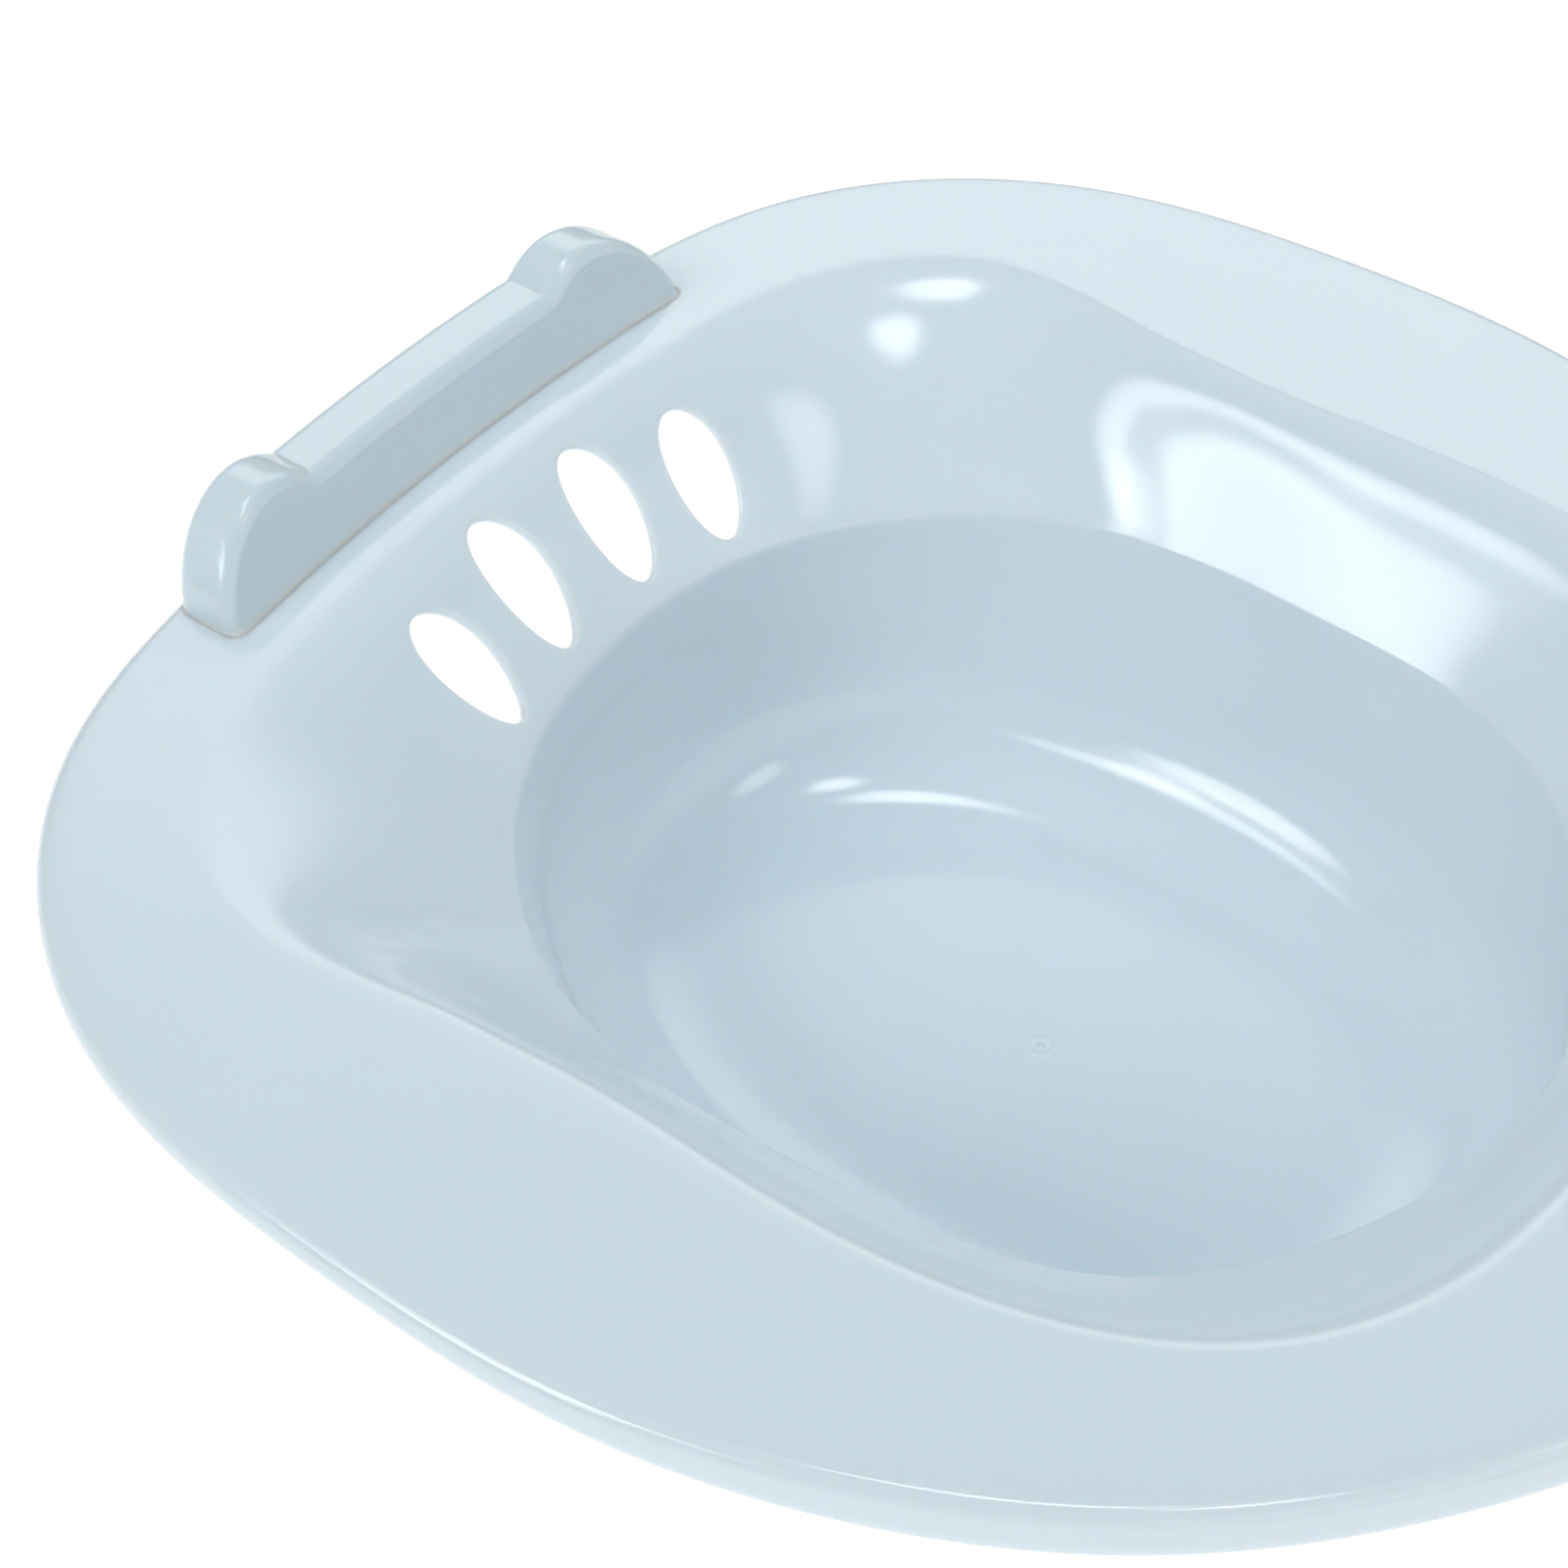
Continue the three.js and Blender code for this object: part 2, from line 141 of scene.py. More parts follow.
def surf2(t, s):
    """(r, z) and the section normal at plan angle t and section place s, 0 centre of floor to 9 end of lip."""
    t, s = np.broadcast_arrays(np.asarray(t, float), np.asarray(s, float))
    t, s = t.ravel(), s.ravel()
    ut, inv = np.unique(t, return_inverse=True)
    V, F = section(ut)
    V = [v[inv] for v in V]
    F = [tuple(x[inv] for x in f) for f in F]
    p, n = np.zeros((len(t), 2)), np.zeros((len(t), 2))
    seg = np.clip(np.floor(s).astype(int), 0, 8)
    f = s - seg
    starts = [V[0], F[0][1], F[1][1], F[2][1], F[3][1]]
    ends = [F[0][0], F[1][0], F[2][0], F[3][0], V[5]]
    for k in range(5):
        m = seg == 2 * k
        a, d = starts[k][m], ends[k][m] - starts[k][m]
        p[m] = a + d * f[m, None]
        d = unit(d)
        n[m] = np.stack([-d[:, 1], d[:, 0]], -1)
    for k in range(4):
        m = seg == 2 * k + 1
        st, en, cen, a1, turn, rad = (x[m] for x in F[k])
        if k == 2:
            g = f[m, None]
            p[m] = st * (1 - g) ** 2 + cen * 2 * g * (1 - g) + en * g**2
            d = unit((cen - st) * (1 - g) + (en - cen) * g)
            n[m] = np.stack([-d[:, 1], d[:, 0]], -1)
            continue
        a = a1 + turn * f[m]
        nn = np.stack([-np.sin(a), np.cos(a)], -1)
        p[m] = cen - nn * rad[:, None]
        n[m] = nn
    return p, n


def surf(t, s, depth=0.0):
    """Points of the surface depth below the inner one."""
    t, s = np.broadcast_arrays(np.asarray(t, float), np.asarray(s, float))
    p, n = surf2(t, s)
    p = p - n * np.broadcast_to(np.asarray(depth, float), t.shape).ravel()[:, None]
    tt = t.ravel()
    return np.stack([p[:, 0] * np.sin(tt), p[:, 0] * np.cos(tt), p[:, 1]], -1)


# ============================================================ a mesh under construction
class Build:
    def __init__(self):
        self.v, self.f, self.n = [], [], 0

    def add(self, pts):
        pts = np.asarray(pts, float).reshape(-1, 3)
        ids = np.arange(self.n, self.n + len(pts))
        self.v.append(pts)
        self.n += len(pts)
        return ids

    def face(self, ids, flip=False):
        out = []
        for i in ids:
            i = int(i)
            if i not in out:
                out.append(i)
        if len(out) >= 3:
            self.f.append(out[::-1] if flip else out)

    def quads(self, a, b, flip=False, closed=False):
        """Quads between two rows of vertex ids."""
        m = len(a)
        for i in range(m if closed else m - 1):
            j = (i + 1) % m
            self.face((a[i], a[j], b[j], b[i]), flip)

    def make(self, name, material):
        me = bpy.data.meshes.new(name)
        used, index = np.unique([i for f in self.f for i in f], return_inverse=True)
        cuts = np.cumsum([len(f) for f in self.f])[:-1]
        faces = [list(map(int, f)) for f in np.split(index, cuts)]
        me.from_pydata((np.concatenate(self.v)[used] * MM).tolist(), [], faces)
        me.polygons.foreach_set("use_smooth", [True] * len(me.polygons))
        me.validate(clean_customdata=False)
        me.update()
        ob = bpy.data.objects.new(name, me)
        bpy.context.scene.collection.objects.link(ob)
        me.materials.append(material)
        return ob


# ============================================================ basin shell
angles = 2 * np.pi * np.arange(COLUMNS) / COLUMNS


def rows_of(*parts):
    """Section places: (segment, count) spread evenly over each segment."""
    out = []
    for seg, count in parts:
        out += [seg + i / count for i in range(count)]
    return out


floor_rows = [0.26, 0.4, 0.55, 0.7, 0.85]
S = floor_rows + rows_of((1, 13), (2, 10), (3, 6), (4, 8), (5, 18), (6, 10), (7, 9), (8, 2)) + [9 - 1e-9]
S = np.array(S)
ROW = {round(s, 6): i for i, s in enumerate(S)}
# Frames round the openings: first column, last column, first row, last row.
row_at = lambda s: int(np.argmin(np.abs(S - s)))
HOLE_ROWS = (row_at(4.125), row_at(6.2))
FRAMES = [
    (1, 15, *HOLE_ROWS, "hole", 0, 1),
    (15, 30, *HOLE_ROWS, "hole", 1, 1),
    (-15, -1, *HOLE_ROWS, "hole", 0, -1),
    (-30, -15, *HOLE_ROWS, "hole", 1, -1),
    (-33, 33, row_at(6.3), row_at(7.0), "slot", 0, 1),
]


def guard_in(x, z):
    return 159.8 - 0.0008 * x * x + 0.352 * (z - FLANGE_Z)


def guard_out(x, z=FLANGE_Z):
    return 177.15 - 0.0009 * x * x + 0.198 * (z - FLANGE_Z)


def ts_of_xy(x, y):
    """Plan angle and section place of a point of the flat flange."""
    t, r = np.arctan2(x, y), np.hypot(x, y)
    V, F = section(np.atleast_1d(t))
    a, b = F[2][1][:, 0], F[3][0][:, 0]
    return t, 6 + (r - a) / (b - a)


def hole_contour(hole, side, frame_pts, grow):
    """(t, s) of the hole's edge, opposite each frame point; grow widens it."""
    x, y, z, length, width, ax, ay, az = hole
    c0 = np.array([x * side, y, z + WALL])
    t = math.atan2(x, y)
    slope = math.atan2(FLANGE_Z - LEDGE_Z, float(series(CREASE, t) - series(LEDGE, t)))
    nrm = np.array([-math.sin(slope) * math.sin(t) * side, -math.sin(slope) * math.cos(t), math.cos(slope)])
    e1 = np.array([ax * side, ay, az])
    e1 = unit(e1 - nrm * (e1 @ nrm))
    e2 = np.cross(nrm, e1)
    a, b = length / 2 + grow, width / 2 + grow
    q = frame_pts - c0
    al = np.arctan2((q @ e2) / b, (q @ e1) / a)
    C = c0 + np.outer(a * np.cos(al), e1) + np.outer(b * np.sin(al) * (1 + HOLE_EGG * np.cos(al)), e2)
    T, Sx = np.arctan2(C[:, 0], C[:, 1]), np.full(len(C), 4.6)
    for _ in range(30):
        P = surf(T, Sx)
        h = 1e-4
        dT, dS = (surf(T + h, Sx) - P) / h, (surf(T, Sx + h) - P) / h
        E = P - C
        e = np.stack([E @ e1, E @ e2], -1)
        J = np.stack([np.stack([dT @ e1, dS @ e1], -1), np.stack([dT @ e2, dS @ e2], -1)], -2)
        step = np.linalg.solve(J, e[..., None])[..., 0]
        T = T - np.clip(step[:, 0], -0.1, 0.1)
        Sx = np.clip(Sx - np.clip(step[:, 1], -0.4, 0.4), 4.0, 6.9)
    return T, Sx


def slot_contour(nx, ny, grow):
    """(t, s) of the slot below the guard, for normalised frame coordinates."""
    k = (np.abs(nx) ** 9 + np.abs(ny) ** 9) ** (-1 / 9)
    X, Y = nx * k, ny * k
    x = X * (SLOT_HALF_X + grow)
    lo, hi = guard_in(x, FLANGE_Z) + WALL - 0.15 - grow, guard_out(x) - SLOT_BACK + grow
    y = (lo + hi) / 2 + Y * (hi - lo) / 2
    return ts_of_xy(x, y)


def build_shell(material):
    B = Build()
    T, SS = np.meshgrid(angles, S, indexing="ij")
    top = B.add(surf(T, SS)).reshape(T.shape)
    low = B.add(surf(T, SS, WALL)).reshape(T.shape)
    covered = np.zeros((COLUMNS, len(S) - 1), bool)
    for i0, i1, j0, j1, *_ in FRAMES:
        for i in range(i0, i1):
            covered[i % COLUMNS, j0:j1] = True
    for i in range(COLUMNS):
        k = (i + 1) % COLUMNS
        for j in range(len(S) - 1):
            if covered[i, j]:
                continue
            B.face((top[i, j], top[k, j], top[k, j + 1], top[i, j + 1]))
            B.face((low[i, j], low[k, j], low[k, j + 1], low[i, j + 1]), True)
    # rounded end of the lip
    p, n = surf2(angles, np.full(COLUMNS, 9 - 1e-9))
    mid = p - n * WALL / 2
    down = np.stack([n[:, 1], -n[:, 0]], -1)
    prev = top[:, -1]
    for q in range(1, 7):
        a = math.pi * q / 7
        c = mid + n * (WALL / 2 * math.cos(a)) + down * (WALL / 2 * math.sin(a))
        cur = B.add(np.stack([c[:, 0] * np.sin(angles), c[:, 0] * np.cos(angles), c[:, 1]], -1))
        B.quads(prev, cur, closed=True)
        prev = cur
    B.quads(prev, low[:, -1], closed=True)
    # openings
    for i0, i1, j0, j1, kind, which, side in FRAMES:
        loop = (
            [(i, j0) for i in range(i0, i1)]
            + [(i1, j) for j in range(j0, j1)]
            + [(i, j1) for i in range(i1, i0, -1)]
            + [(i0, j) for j in range(j1, j0, -1)]
        )
        ci = np.array([i % COLUMNS for i, _ in loop])
        cj = np.array([j for _, j in loop])
        ft = 2 * np.pi * np.array([i for i, _ in loop]) / COLUMNS
        fs = S[cj]
        edge = 0.75 if kind == "hole" else 0.3
        if kind == "hole":
            pts = surf(ft, fs)
            inner = hole_contour(HOLES[which], side, pts, 0.0)
            outer = hole_contour(HOLES[which], side, pts, edge)
            rings = 7
        else:
            nx = (np.array([i for i, _ in loop]) - (i0 + i1) / 2) / ((i1 - i0) / 2)
            ny = (cj - (j0 + j1) / 2) / ((j1 - j0) / 2)
            inner, outer = slot_contour(nx, ny, 0.0), slot_contour(nx, ny, edge)
            rings = 3
        ends = []
        for base, depth, flip in ((top, 0.0, False), (low, WALL, True)):
            prev = base[ci, cj]
            for q in range(1, rings + 1):
                w = 1 - (1 - q / rings) ** 1.35
                cur = B.add(surf(ft * (1 - w) + outer[0] * w, fs * (1 - w) + outer[1] * w, depth))
                B.quads(prev, cur, flip, closed=True)
                prev = cur
            ends.append(prev)
        prev = ends[0]
        seq = [(math.radians(a), False) for a in (20, 40, 60, 78, 90)] + [(math.radians(a), True) for a in (90, 68, 45, 22)]
        for a, is_low in seq:
            d = edge * (1 - math.cos(a))
            d = WALL - d if is_low else d
            w = math.sin(a)
            pts = surf(*outer, d) * (1 - w) + surf(*inner, d) * w
            cur = B.add(pts)
            B.quads(prev, cur, closed=True)
            prev = cur
        B.quads(prev, ends[1], closed=True)
    # middle of the floor, with the faint gate mark
    sectors = COLUMNS // 8
    for base, z, flip in ((top, WALL, False), (low, 0.0, True)):
        ha = 2 * np.pi * np.arange(sectors) / sectors
        radii = [(11.5, 0.0), (8.5, 0.0), (6.0, 0.0), (3.6, 0.0), (3.0, 0.0), (2.75, -0.07), (2.45, -0.09), (2.2, 0.0), (1.5, 0.0), (0.95, 0.0), (0.8, -0.12), (0.55, -0.45), (0.3, -0.5)]
        if flip:
            radii = [(11.5, 0.0), (6.0, 0.0), (2.0, 0.0), (1.6, -0.5), (0.8, -0.7)]
        first = None
        prev = None
        for r, dz in radii:
            cur = B.add(np.stack([r * np.sin(ha), r * np.cos(ha), np.full(sectors, z + (dz if not flip else -dz))], -1))
            if prev is None:
                first = cur
                for a in range(sectors):
                    b = (a + 1) % sectors
                    for q in range(4):
                        B.face((cur[a], base[(8 * a + q) % COLUMNS, 0], base[(8 * a + q + 1) % COLUMNS, 0]), not flip)
                    for q in range(4, 8):
                        B.face((cur[b], base[(8 * a + q) % COLUMNS, 0], base[(8 * a + q + 1) % COLUMNS, 0]), not flip)
                    B.face((cur[a], cur[b], base[8 * a + 4, 0]), flip)
            else:
                B.quads(cur, prev, flip, closed=True)
            prev = cur
        tip = B.add([[0, 0, z + (radii[-1][1] if not flip else -radii[-1][1])]])[0]
        for a in range(sectors):
            B.face((tip, prev[a], prev[(a + 1) % sectors]), not flip)
    return B.make("basin_shell", material)


# ============================================================ splash guard
def guard_outline():
    """Stations of the guard's outline from its left foot to its right one: x, z, outward normal."""
    foot = FLANGE_Z + GUARD_FOOT

    def E(a):
        half, power = (EAR_OUT, EAR_OUT_POWER) if math.cos(a) > 0 else (EAR_IN, EAR_IN_POWER)
        p = np.array([EAR_X + half * math.cos(a), FLANGE_Z + EAR_H * math.sin(a) ** (2 * power)])
        return p, unit(np.array([2 * power * EAR_H * math.sin(a) ** (2 * power - 2) * math.cos(a), half]))

    lo, hi = math.pi / 2, math.pi - 0.01
    for _ in range(60):
        m = (lo + hi) / 2
        p, n = E(m)
        if p[1] + GUARD_NOTCH_R * n[1] > GUARD_TOP + GUARD_NOTCH_R:
            lo = m
        else:
            hi = m
    p, n = E(lo)
    cx, cz = p[0] + GUARD_NOTCH_R * n[0], GUARD_TOP + GUARD_NOTCH_R
    half = []
    for i in range(25):
        half.append((cx * i / 25, GUARD_TOP, 0.0, 1.0))
    b1 = math.atan2(-n[1], -n[0])
    for i in range(9):
        b = -math.pi / 2 + (b1 + math.pi / 2) * i / 9
        half.append((cx + GUARD_NOTCH_R * math.cos(b), cz + GUARD_NOTCH_R * math.sin(b), -math.cos(b), -math.sin(b)))
    a_end = math.asin((GUARD_FOOT / EAR_H) ** (0.5 / EAR_OUT_POWER))
    count = 54
    for i in range(count + 1):
        p, n = E(lo + (a_end - lo) * i / count)
        half.append((p[0], p[1], n[0], n[1]))
    half = np.array(half)
    left = half[:0:-1] * [-1, 1, -1, 1]
    return np.concatenate([left, half])


def flange_top(x, y):
    """Height of the flange's upper surface, where it rolls over into the lip."""
    t, r = np.arctan2(x, y), np.hypot(x, y)
    over = np.clip(r - (series(RIM, t) - LIP_R), 0, LIP_R * 0.98)
    return FLANGE_Z - (LIP_R - np.sqrt(LIP_R**2 - over**2))


def guard_skin(B, outline, inset, radius, base_z, flip, K):
    """The guard's skin, inset into the body, its edges rounded; returns the closed loop at its foot and the loop's outward normals."""
    ox, oz, nx, nz = outline.T
    ox, oz = ox - nx * inset, np.maximum(oz - nz * inset, base_z)
    ox[0], ox[-1] = -(EAR_X + EAR_OUT - inset), EAR_X + EAR_OUT - inset
    oz[0] = oz[-1] = base_z
    n = len(ox)
    phi = np.radians(np.linspace(0, 90, 9))
    rows = []

    def place(delta, frm, dist):
        x, z = ox - nx * delta, np.maximum(oz - nz * delta, base_z)
        a, b = guard_in(x, z) + inset, guard_out(x, z) - inset
        return np.stack([x, (a + dist) if frm else (b - dist), z], -1)

    for a in phi:
        rows.append(place(radius * (1 - math.sin(a)), True, radius * (1 - math.cos(a))))
    f_end, b_end = place(0, True, radius), place(0, False, radius)
    for w in (0.2, 0.4, 0.6, 0.8):
        rows.append(f_end * (1 - w) + b_end * w)
    for a in phi[::-1]:
        rows.append(place(radius * (1 - math.sin(a)), False, radius * (1 - math.cos(a))))
    ids = [B.add(r) for r in rows]
    for a, b in zip(ids[:-1], ids[1:]):
        B.quads(a, b, flip)
    caps = []
    for frm, row, fl in ((True, 0, not flip), (False, -1, flip)):
        x0, z0 = rows[row][:, 0], rows[row][:, 2]
        u = np.concatenate([[0], np.cumsum(np.abs(np.diff(x0)) + 0.35 * np.abs(np.diff(z0)))])
        xb = x0[0] + (x0[-1] - x0[0]) * u / u[-1]
        cols = [ids[row]]
        for k in range(1, K + 1):
            w = k / K
            x, z = x0 * (1 - w) + xb * w, z0 * (1 - w) + base_z * w
            y = guard_in(x, z) + inset if frm else guard_out(x, z) - inset
            cur = B.add(np.stack([x, y, z], -1)[1:-1])
            cur = np.concatenate([[ids[row][0]], cur, [ids[row][-1]]])
            cols.append(cur)
        for a, b in zip(cols[:-1], cols[1:]):
            B.quads(a, b, fl)
        caps.append(cols[-1])
    loop = (
        list(caps[0])
        + [i[-1] for i in ids[1:]]
        + list(caps[1][-2::-1])
        + [i[0] for i in ids[-2:0:-1]]
    )
    P = np.concatenate(B.v)[np.array(loop)]
    # outward normals in plan
    m = len(loop)
    tang = np.roll(P, -1, 0) - np.roll(P, 1, 0)
    N = unit(np.stack([tang[:, 1], -tang[:, 0], np.zeros(m)], -1))
    return np.array(loop), P, N


def build_guard(material):
    B = Build()
    line = guard_outline()
    loop, P, N = guard_skin(B, line, 0.0, GUARD_R, FLANGE_Z + GUARD_FOOT, False, 12)
    x, y = P[:, 0], P[:, 1]
    front = N[:, 1] < -0.5
    foot = FLANGE_Z + GUARD_FOOT
    y1 = np.where(front, y + guard_in(x, FLANGE_Z) - guard_in(x, foot), y + guard_out(x) - guard_out(x, foot))
    P1 = np.stack([x, y1, flange_top(x, y1)], -1)
    P2 = P1 + N * GUARD_FOOT * 1.1
    t2, r2 = np.arctan2(P2[:, 0], P2[:, 1]), np.hypot(P2[:, 0], P2[:, 1])
    P2[:, :2] *= np.minimum(1, (series(RIM, t2) - 0.15) / r2)[:, None]
    P2[:, 2] = flange_top(P2[:, 0], P2[:, 1]) - 0.03
    prev = loop
    for q in range(1, 8):
        w = q / 7
        cur = B.add(P * (1 - w) ** 2 + P1 * 2 * w * (1 - w) + P2 * w * w)
        B.quads(prev, cur, closed=True, flip=True)
        prev = cur
    toe = P2 - N * 0.2
    toe[:, 2] -= 0.25
    cur = B.add(toe)
    B.quads(prev, cur, closed=True, flip=True)
    inner, Pi, _ = guard_skin(B, line, WALL, GUARD_R - WALL, FLANGE_Z - 0.25, True, 4)
    B.quads(cur, inner, closed=True, flip=True)
    return B.make("splash_guard", material)


# ============================================================ material
def plastic(name, depth, colour_a, colour_b):
    mat = bpy.data.materials.new(name)
    mat.use_nodes = True
    nt = mat.node_tree
    N, L = nt.nodes, nt.links
    b = N["Principled BSDF"]
    b.inputs["IOR"].default_value = 1.54
    b.inputs["Subsurface Weight"].default_value = 1.0
    b.inputs["Subsurface Radius"].default_value = (0.75, 1.0, 1.15)
    b.inputs["Subsurface Scale"].default_value = depth
    tc = N.new("ShaderNodeTexCoord")

    def noise(scale, detail, rough=0.5):
        n = N.new("ShaderNodeTexNoise")
        n.inputs["Scale"].default_value = scale
        n.inputs["Detail"].default_value = detail
        n.inputs["Roughness"].default_value = rough
        L.new(tc.outputs["Object"], n.inputs["Vector"])
        return n

    # colour: very faint clouding of the pigment
    cloud = noise(9.0, 3.0, 0.55)
    ramp = N.new("ShaderNodeValToRGB")
    ramp.color_ramp.elements[0].position = 0.3
    ramp.color_ramp.elements[0].color = (*colour_a, 1)
    ramp.color_ramp.elements[1].position = 0.7
    ramp.color_ramp.elements[1].color = (*colour_b, 1)
    L.new(cloud.outputs["Fac"], ramp.inputs["Fac"])
    L.new(ramp.outputs["Color"], b.inputs["Base Color"])
    # roughness: moulded gloss with faint handling wear
    wear = noise(38.0, 5.0, 0.6)
    mr = N.new("ShaderNodeMapRange")
    mr.inputs["From Min"].default_value = 0.3
    mr.inputs["From Max"].default_value = 0.75
    mr.inputs["To Min"].default_value = ROUGH[0]
    mr.inputs["To Max"].default_value = ROUGH[1]
    L.new(wear.outputs["Fac"], mr.inputs["Value"])
    L.new(mr.outputs["Result"], b.inputs["Roughness"])
    # surface: slow waviness of a moulded wall, and a fine orange peel
    slow = noise(26.0, 1.0)
    fine = noise(420.0, 2.0)
    b1 = N.new("ShaderNodeBump")
    b1.inputs["Strength"].default_value = 0.35
    b1.inputs["Distance"].default_value = 0.0001
    L.new(slow.outputs["Fac"], b1.inputs["Height"])
    b2 = N.new("ShaderNodeBump")
    b2.inputs["Strength"].default_value = 0.25
    b2.inputs["Distance"].default_value = 0.000006
    L.new(fine.outputs["Fac"], b2.inputs["Height"])
    L.new(b1.outputs["Normal"], b2.inputs["Normal"])
    L.new(b2.outputs["Normal"], b.inputs["Normal"])
    return mat


COLOUR_A = (0.675, 0.74, 0.797)
COLOUR_B = (0.686, 0.751, 0.807)
ROUGH = (0.075, 0.125)
# The guard is the same plastic as the basin. Its colours are painted lighter and more saturated to make up for the
# shade that its hollow body gets.
GUARD_PAINTED_LIGHT_A = (0.7, 0.825, 0.89)
GUARD_PAINTED_LIGHT_B = (0.712, 0.835, 0.898)
PLASTIC = plastic("pale_blue_plastic", 0.005, COLOUR_A, COLOUR_B)
# The guard's material carries the painted-lighter colours above.
GUARD_PLASTIC_PAINTED_LIGHTER = plastic("pale_blue_plastic_guard_painted_lighter", 0.0012, GUARD_PAINTED_LIGHT_A, GUARD_PAINTED_LIGHT_B)  # the hollow guard is unlit inside, so less light passes
shell = build_shell(PLASTIC)
guard = build_guard(GUARD_PLASTIC_PAINTED_LIGHTER)
for ob, nodes in (
    (shell, ("bowl_floor", "bowl_wall", "funnel_wall", "overflow_panel", "seat_flange", "rim_lip")),
    (guard, ("splash_guard_wall", "guard_ear_left", "guard_ear_right")),
):
    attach(ob, "root")
    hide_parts(*nodes)

# ============================================================ camera, floor, light
SKY_MAX = 10.0  # the ramps and lamps below are shares of this; white paper is 1
SKY_BACK = [(0.0, 0.16), (0.3, 0.21), (0.6, 0.17), (0.84, 0.25), (0.93, 0.46)]  # far side of the studio: sine of height, brightness
SKY_FRONT = [(0.0, 0.07), (0.3, 0.28), (0.6, 0.25), (0.84, 0.27), (0.93, 0.46)]
# Softboxes with feathered edges: azimuth from +Y, elevation, half-width, half-height, roll (degrees), brightness
SOFTBOXES = [
    (-67, 30.5, 11, 5.0, 0, 6.4),
    (-68, 39, 13, 5.5, 0, 1.7),
    (-76, 42, 4.5, 4.0, 0, 4.5),
    (-71, 45.5, 17, 2.8, 0, 4.6),
    (147, 78.3, 4.0, 3.5, 0, 7.6),
    (62, 77.6, 5.0, 4.5, 0, 7.0),
    (162, 55, 7, 4, 0, 3.0),
    (60, 36, 20, 11, 0, 1.8),
    (178, 29, 45, 13, 0, 0.95),
]
cam = bpy.data.objects.new("camera", bpy.data.cameras.new("camera"))
bpy.context.scene.collection.objects.link(cam)
cam.data.sensor_width = 36.0
cam.data.lens = 3071 / 1600 * 36
az, el = math.radians(-53.70), math.radians(45.02)
back = Vector((math.sin(az) * math.cos(el), -math.cos(az) * math.cos(el), math.sin(el)))
right = Vector((math.cos(az), math.sin(az), 0))
up = back.cross(right)
cam.matrix_world = Matrix(
    (
        (right.x, up.x, back.x, -0.37958),
        (right.y, up.y, back.y, -0.20841),
        (right.z, up.z, back.z, 0.51381),
        (0, 0, 0, 1),
    )
)
cam.data.clip_start, cam.data.clip_end = 0.01, 50
bpy.context.scene.camera = cam

floor_mesh = bpy.data.meshes.new("floor")
floor_mesh.from_pydata([(-4, -4, -0.0005), (4, -4, -0.0005), (4, 4, -0.0005), (-4, 4, -0.0005)], [], [(0, 1, 2, 3)])
floor = bpy.data.objects.new("floor", floor_mesh)
bpy.context.scene.collection.objects.link(floor)
fm = bpy.data.materials.new("floor_white")
fm.use_nodes = True
fb = fm.node_tree.nodes["Principled BSDF"]
fb.inputs["Base Color"].default_value = (0.25, 0.25, 0.25, 1)
fb.inputs["Roughness"].default_value = 0.9
fb.inputs["Emission Color"].default_value = (1, 1, 1, 1)
fb.inputs["Emission Strength"].default_value = 0.85
floor_mesh.materials.append(fm)

world = bpy.data.worlds.new("studio")
bpy.context.scene.world = world
world.use_nodes = True
wn, wl = world.node_tree.nodes, world.node_tree.links
bg = wn["Background"]
bg.inputs["Strength"].default_value = SKY_MAX
wtc = wn.new("ShaderNodeTexCoord")


def sky_dot(v):
    d = wn.new("ShaderNodeVectorMath")
    d.operation = "DOT_PRODUCT"
    wl.new(wtc.outputs["Generated"], d.inputs[0])
    d.inputs[1].default_value = tuple(v)
    return d.outputs["Value"]


def sky_ramp(height, stops):
    r = wn.new("ShaderNodeValToRGB")
    r.color_ramp.interpolation = "EASE"
    el = r.color_ramp.elements
    while len(el) < len(stops):
        el.new(0.5)
    for e, (at, v) in zip(el, stops):
        e.position, e.color = at, (v / SKY_MAX,) * 3 + (1,)
    wl.new(height, r.inputs["Fac"])
    return r.outputs["Color"]


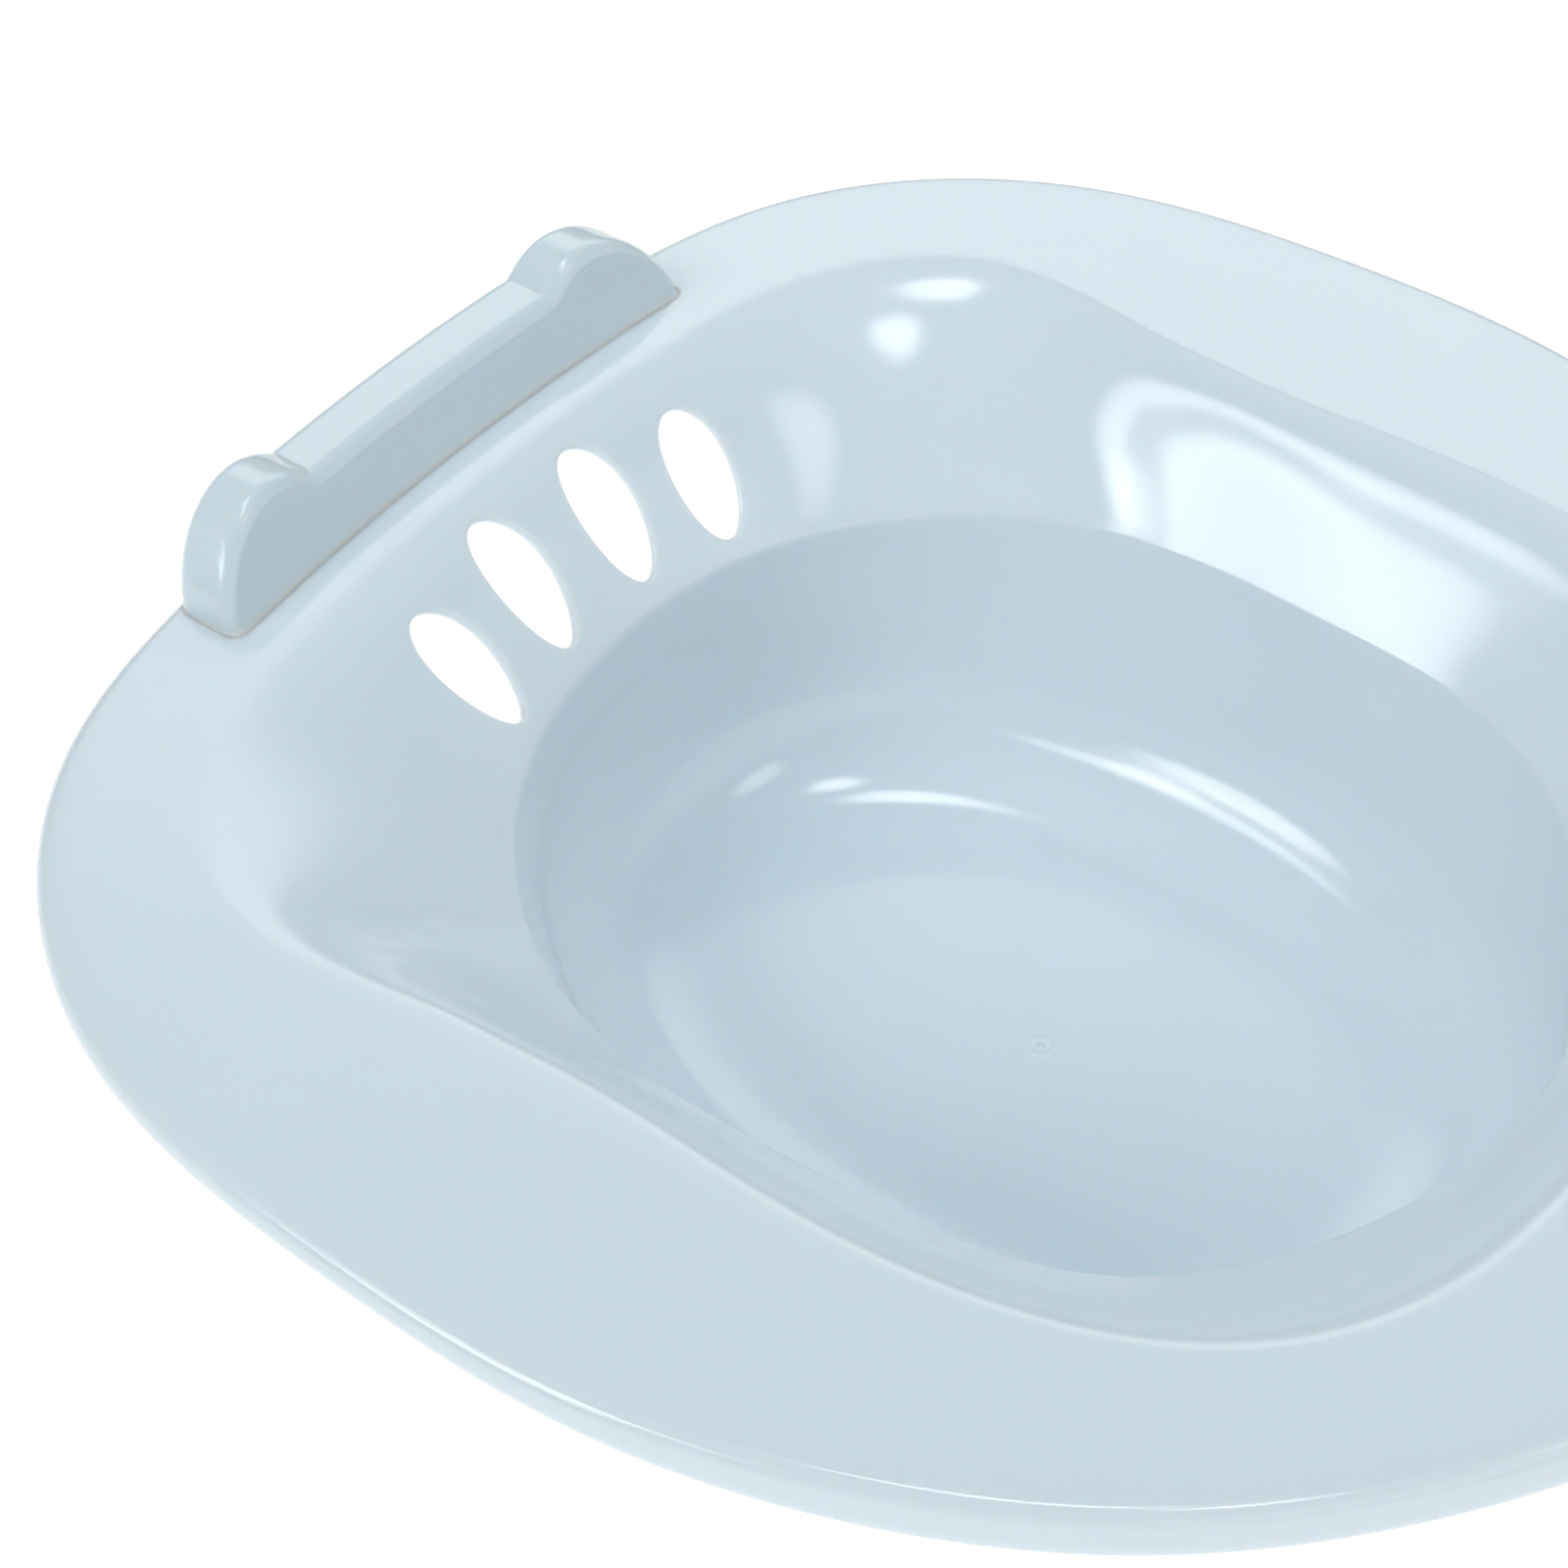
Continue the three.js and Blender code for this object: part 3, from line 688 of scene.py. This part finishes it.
def sky_math(op, a, b=None):
    m = wn.new("ShaderNodeMath")
    m.operation = op
    for k, v in enumerate((a, b)):
        if v is None:
            continue
        if isinstance(v, (int, float)):
            m.inputs[k].default_value = v
        else:
            wl.new(v, m.inputs[k])
    return m.outputs["Value"]


def feathered_box(az, el, half_w, half_h, roll, brightness):
    """A soft ellipse of light on the sky, bright in its middle and feathered to nothing."""
    az, el, roll = (math.radians(q) for q in (az, el, roll))
    c = Vector((math.sin(az) * math.cos(el), math.cos(az) * math.cos(el), math.sin(el)))
    across = Vector((math.cos(az), -math.sin(az), 0))
    upward = across.cross(c)
    u = across * math.cos(roll) + upward * math.sin(roll)
    w = upward * math.cos(roll) - across * math.sin(roll)
    x = sky_math("POWER", sky_math("DIVIDE", sky_dot(u), math.sin(math.radians(half_w))), 2.0)
    y = sky_math("POWER", sky_math("DIVIDE", sky_dot(w), math.sin(math.radians(half_h))), 2.0)
    m = wn.new("ShaderNodeMapRange")
    m.interpolation_type = "SMOOTHSTEP"
    m.inputs["From Min"].default_value = 2.6
    m.inputs["From Max"].default_value = 0.25
    m.inputs["To Max"].default_value = brightness / SKY_MAX
    wl.new(sky_math("ADD", x, y), m.inputs["Value"])
    ahead = sky_math("GREATER_THAN", sky_dot(c), 0.0)
    return sky_math("MULTIPLY", m.outputs["Result"], ahead)


height = sky_dot((0, 0, 1))
side = wn.new("ShaderNodeMapRange")
side.interpolation_type = "SMOOTHSTEP"
side.inputs["From Min"].default_value = -0.3
side.inputs["From Max"].default_value = 0.4
wl.new(sky_dot((0.86, 0.5, 0.0)), side.inputs["Value"])
mix = wn.new("ShaderNodeMix")
mix.data_type = "RGBA"
wl.new(side.outputs["Result"], mix.inputs["Factor"])
wl.new(sky_ramp(height, SKY_FRONT), mix.inputs[6])
wl.new(sky_ramp(height, SKY_BACK), mix.inputs[7])
total = mix.outputs[2]
for box in SOFTBOXES:
    add = wn.new("ShaderNodeVectorMath")
    add.operation = "ADD"
    wl.new(total, add.inputs[0])
    wl.new(feathered_box(*box), add.inputs[1])
    total = add.outputs["Vector"]
wl.new(total, bg.inputs["Color"])
bpy.context.scene.view_settings.view_transform = "Standard"
